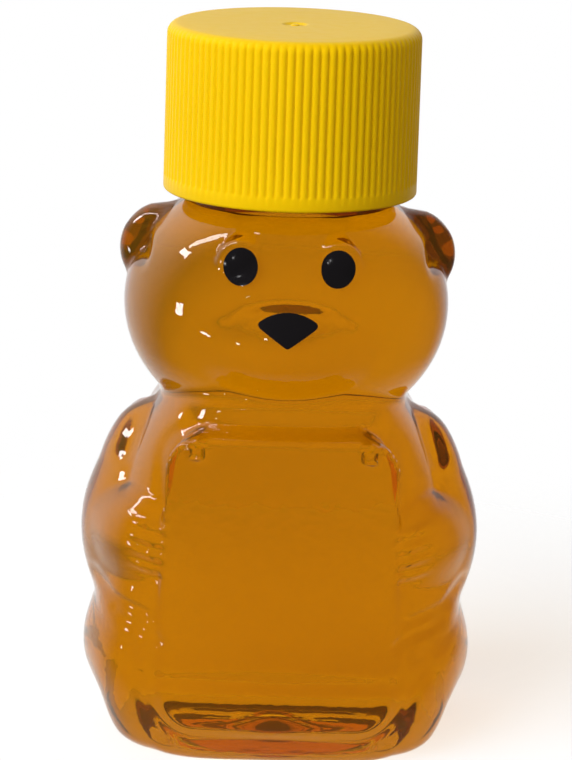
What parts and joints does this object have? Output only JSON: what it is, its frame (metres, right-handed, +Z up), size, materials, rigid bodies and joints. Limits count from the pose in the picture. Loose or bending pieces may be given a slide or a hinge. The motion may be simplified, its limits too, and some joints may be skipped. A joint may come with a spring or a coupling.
{
  "type": "honey squeeze bottle",
  "caption": "Small clear bear-shaped squeeze bottle filled with amber honey, closed with a yellow ribbed screw cap.",
  "frame": {"origin": "centre of the foot, on the neck's axis, at the level the bottle stands on", "axes": "+Z up along the neck's axis, -Y towards the bear's face, +X to the right of the picture, the bear's own left"},
  "size_m": [0.0428, 0.0353, 0.077],
  "materials": {
    "clear_plastic": "clear, glossy",
    "honey": "thick amber liquid",
    "yellow_plastic": "smooth moulded, slightly glossy",
    "liner_foam": "matte",
    "black_ink": "glossy print"
  },
  "bodies": {
    "bottle": {"bottle": "clear_plastic", "honey": "honey", "left_eye": "black_ink", "right_eye": "black_ink", "nose": "black_ink"},
    "liner": {"cap_liner": "liner_foam"},
    "cap": {"screw_cap": "yellow_plastic"}
  },
  "joints": [
    {"name": "cap_lift", "type": "slide", "parent": "bottle", "child": "liner", "axis": [0, 0, 1], "range_m": [0, 0.0175]},
    {"name": "cap_turn", "type": "hinge", "parent": "liner", "child": "cap", "pos_m": [0, 0, 0.0667], "axis": [0, 0, 1], "range_deg": [0, 1980]}
  ],
  "couplings": [
    {"joint": "cap_lift", "follows": "cap_turn", "m_per_rad": 0.00050532}
  ]
}
